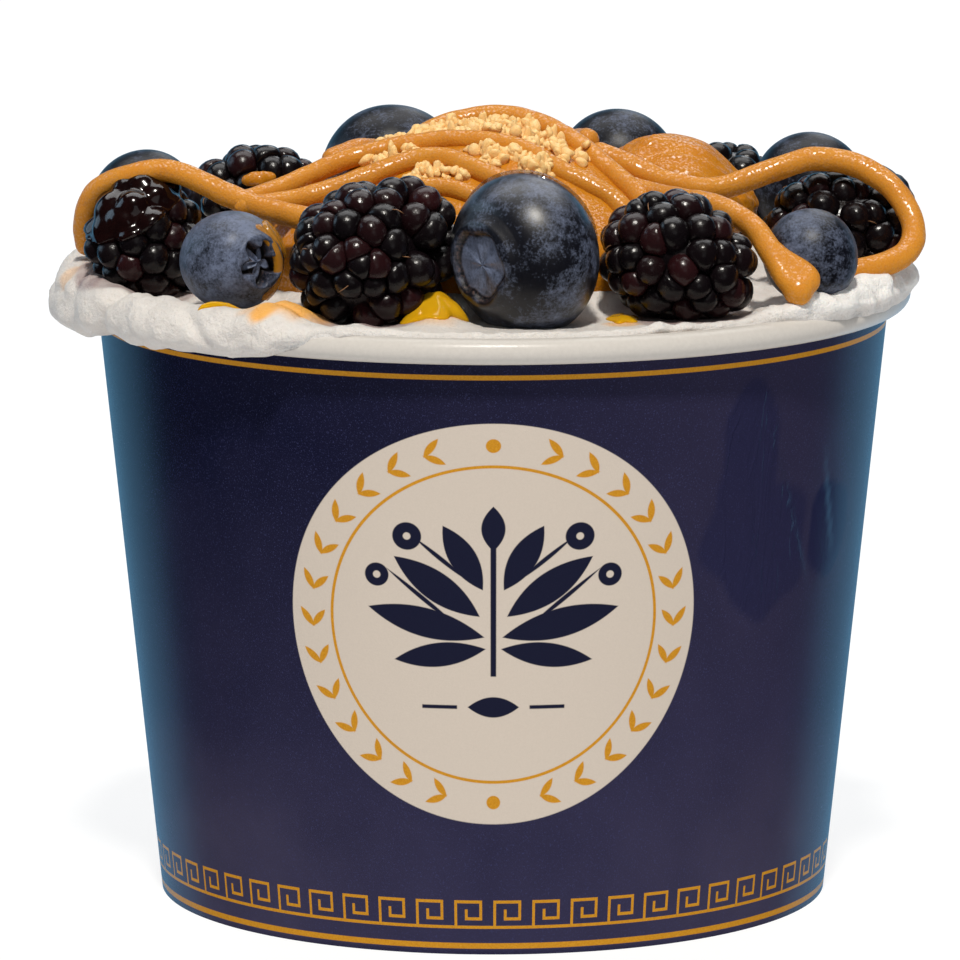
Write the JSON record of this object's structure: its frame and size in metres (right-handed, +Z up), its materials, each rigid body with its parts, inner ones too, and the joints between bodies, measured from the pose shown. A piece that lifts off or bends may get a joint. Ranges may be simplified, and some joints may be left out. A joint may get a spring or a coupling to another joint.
{
  "type": "greek yogurt cup",
  "caption": "Tapered paper cup of Greek yogurt filled past its rolled rim, ringed with brambles and blueberries and heaped with nut butter and chopped nuts.",
  "frame": {"origin": "middle of the cup's foot, on the surface that it stands on", "axes": "+Z up along the cup's axis; the shown side faces -Y, with +X to its right"},
  "size_m": [0.0994, 0.0954, 0.0904],
  "materials": {
    "cup_print": "navy printed paperboard, satin",
    "cup_paper": "white uncoated paper",
    "yogurt": "thick, moist, satin",
    "bramble": "glossy purple-black drupelets",
    "blueberry": "waxy blue bloom over dark skin",
    "nut_butter": "smooth, oily, semi-gloss",
    "chopped_nuts": "dry, crumbly",
    "honey": "clear amber, wet"
  },
  "bodies": {
    "root": {"cup_wall": "cup_print", "cup_base": "cup_paper", "yogurt": "yogurt", "nut_butter": "nut_butter", "bramble_1": "bramble", "bramble_2": "bramble", "bramble_3": "bramble", "bramble_4": "bramble", "bramble_5": "bramble", "bramble_6": "bramble", "bramble_7": "bramble", "blueberry_1": "blueberry", "blueberry_2": "blueberry", "blueberry_3": "blueberry", "blueberry_4": "blueberry", "blueberry_5": "blueberry", "blueberry_6": "blueberry", "blueberry_7": "blueberry", "blueberry_8": "blueberry", "blueberry_9": "blueberry"}
  },
  "joints": []
}
